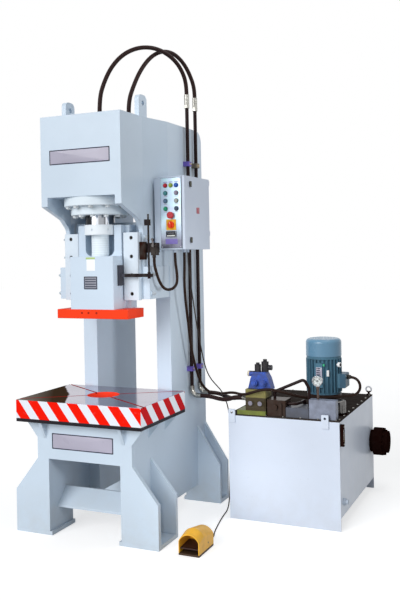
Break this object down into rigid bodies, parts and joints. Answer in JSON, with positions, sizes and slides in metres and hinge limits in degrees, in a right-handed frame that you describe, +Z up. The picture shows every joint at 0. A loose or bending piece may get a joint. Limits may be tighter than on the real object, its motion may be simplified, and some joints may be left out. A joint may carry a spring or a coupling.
{
  "type": "hydraulic C-frame press with power pack",
  "caption": "White C-frame hydraulic press with a striped table, red platen, side control box, hoses, separate tank with motor and valves, and a foot switch.",
  "frame": {"origin": "centre of the four floor anchor holes of the press, at floor level", "axes": "+Z is up, +Y points from the operator's side to the back, +X points to the power pack"},
  "size_m": [2.045, 1.7971, 3.1301],
  "materials": {
    "frame_paint": "satin",
    "red_paint": "satin",
    "table_steel": "ground, dark",
    "black_plate": "satin",
    "bright_steel": "machined",
    "chrome": "polished",
    "black_steel": "satin",
    "box_paint": "satin",
    "stainless": "brushed",
    "black_plastic": "matte",
    "button_green": "gloss",
    "button_grey": "gloss",
    "button_teal": "gloss",
    "button_blue": "gloss",
    "stop_red": "gloss",
    "zinc": "zinc plated",
    "rubber": "matte",
    "clamp_blue": "matte",
    "tank_paint": "satin",
    "zinc_yellow": "passivated",
    "valve_blue": "gloss",
    "motor_teal": "gloss",
    "dark_cast": "painted",
    "pump_cast": "cast",
    "pedal_yellow": "gloss"
  },
  "bodies": {
    "frame": {"left_side_frame": "frame_paint", "right_side_frame": "frame_paint", "front_plate": "frame_paint", "front_legs": "frame_paint", "table_gussets": "frame_paint", "head_shell": "frame_paint", "guide_housing": "frame_paint", "lifting_lugs": "frame_paint", "bolster": "table_steel", "bed_plate": "black_plate", "gib_blocks": "bright_steel", "cylinder_flange": "bright_steel", "cylinder_barrel": "bright_steel", "frame_bolts": "black_steel", "hydraulic_pipes": "black_steel", "control_box": "box_paint", "box_bracket": "box_paint", "operator_panel": "stainless", "panel_fittings": "stainless", "limit_switch": "black_plastic", "hose_fittings": "zinc", "pressure_gauge": "zinc", "upper_hose_front": "rubber", "upper_hose_rear": "rubber", "lower_hose_front": "rubber", "lower_hose_rear": "rubber", "switch_conduit": "rubber", "pack_conduit": "rubber", "foot_cable": "rubber", "pipe_clamps": "clamp_blue", "tank_body": "tank_paint", "tank_lid": "tank_paint", "valve_manifold": "zinc_yellow", "valve_stack": "valve_blue", "motor_housing": "motor_teal", "fan_cowl": "motor_teal", "tank_fittings": "dark_cast", "pump": "pump_cast", "foot_guard": "pedal_yellow"},
    "slide": {"ram": "chrome", "rod_collar": "bright_steel", "slide_block": "frame_paint", "platen": "red_paint", "stroke_arm": "black_steel"},
    "lever": {"limit_lever": "zinc"},
    "door": {"box_door": "box_paint"},
    "upper_lock": {"upper_door_lock": "black_plastic"},
    "lower_lock": {"lower_door_lock": "black_plastic"},
    "main_switch": {"main_switch_knob": "stop_red"},
    "stop": {"stop_button": "stop_red"},
    "rotor": {"motor_rotor": "bright_steel"},
    "needle": {"gauge_needle": "black_plastic"},
    "cap": {"breather_cap": "black_plastic"},
    "pedal": {"foot_pedal": "pedal_yellow"},
    "button_left_top": {"button_left_top": "button_teal"},
    "button_left_middle": {"button_left_middle": "button_grey"},
    "button_left_bottom": {"button_left_bottom": "button_green"},
    "button_right_top": {"button_right_top": "button_grey"},
    "button_right_middle": {"button_right_middle": "button_grey"},
    "button_right_bottom": {"button_right_bottom": "button_blue"}
  },
  "joints": [
    {"name": "slide_stroke", "type": "slide", "parent": "frame", "child": "slide", "axis": [0, 0, -1], "range_m": [0, 0.3]},
    {"name": "lever_swing", "type": "hinge", "parent": "frame", "child": "lever", "pos_m": [0.372, -0.32675, 1.795], "axis": [0, 1, 0], "range_deg": [-25, 25], "stiffness_Nm_per_rad": 0.4},
    {"name": "door_swing", "type": "hinge", "parent": "frame", "child": "door", "pos_m": [0.507, 0.20325, 2], "axis": [0, 0, 1], "range_deg": [0, 110]},
    {"name": "upper_lock_turn", "type": "hinge", "parent": "door", "child": "upper_lock", "pos_m": [0.524, -0.10775, 2.185], "axis": [1, 0, 0], "range_deg": [0, 90]},
    {"name": "lower_lock_turn", "type": "hinge", "parent": "door", "child": "lower_lock", "pos_m": [0.524, -0.10775, 1.828], "axis": [1, 0, 0], "range_deg": [0, 90]},
    {"name": "main_switch_turn", "type": "hinge", "parent": "frame", "child": "main_switch", "pos_m": [0.438, -0.19875, 1.926], "axis": [0, 1, 0], "range_deg": [0, 90]},
    {"name": "stop_press", "type": "slide", "parent": "frame", "child": "stop", "axis": [0, 1, 0], "range_m": [0, 0.005]},
    {"name": "rotor_turn", "type": "hinge", "parent": "frame", "child": "rotor", "pos_m": [1.226, 0.48125, 0.9], "axis": [0, 0, 1], "continuous": true},
    {"name": "needle_turn", "type": "hinge", "parent": "frame", "child": "needle", "pos_m": [1.268, 0.16625, 0.922], "axis": [0, 1, 0], "range_deg": [-175, 95]},
    {"name": "cap_turn", "type": "hinge", "parent": "frame", "child": "cap", "pos_m": [1.372, 0.32625, 0.72], "axis": [0, 0, 1], "range_deg": [0, 45]},
    {"name": "pedal_press", "type": "hinge", "parent": "frame", "child": "pedal", "pos_m": [0.698, -0.44675, 0.044], "axis": [1, 0, 0], "range_deg": [0, 8], "stiffness_Nm_per_rad": 8, "springref_deg": -17.19},
    {"name": "button_left_top_press", "type": "slide", "parent": "frame", "child": "button_left_top", "axis": [0, 1, 0], "range_m": [0, 0.004], "stiffness_N_per_m": 600},
    {"name": "button_left_middle_press", "type": "slide", "parent": "frame", "child": "button_left_middle", "axis": [0, 1, 0], "range_m": [0, 0.004], "stiffness_N_per_m": 600},
    {"name": "button_left_bottom_press", "type": "slide", "parent": "frame", "child": "button_left_bottom", "axis": [0, 1, 0], "range_m": [0, 0.004], "stiffness_N_per_m": 600},
    {"name": "button_right_top_press", "type": "slide", "parent": "frame", "child": "button_right_top", "axis": [0, 1, 0], "range_m": [0, 0.004], "stiffness_N_per_m": 600},
    {"name": "button_right_middle_press", "type": "slide", "parent": "frame", "child": "button_right_middle", "axis": [0, 1, 0], "range_m": [0, 0.004], "stiffness_N_per_m": 600},
    {"name": "button_right_bottom_press", "type": "slide", "parent": "frame", "child": "button_right_bottom", "axis": [0, 1, 0], "range_m": [0, 0.004], "stiffness_N_per_m": 600}
  ]
}
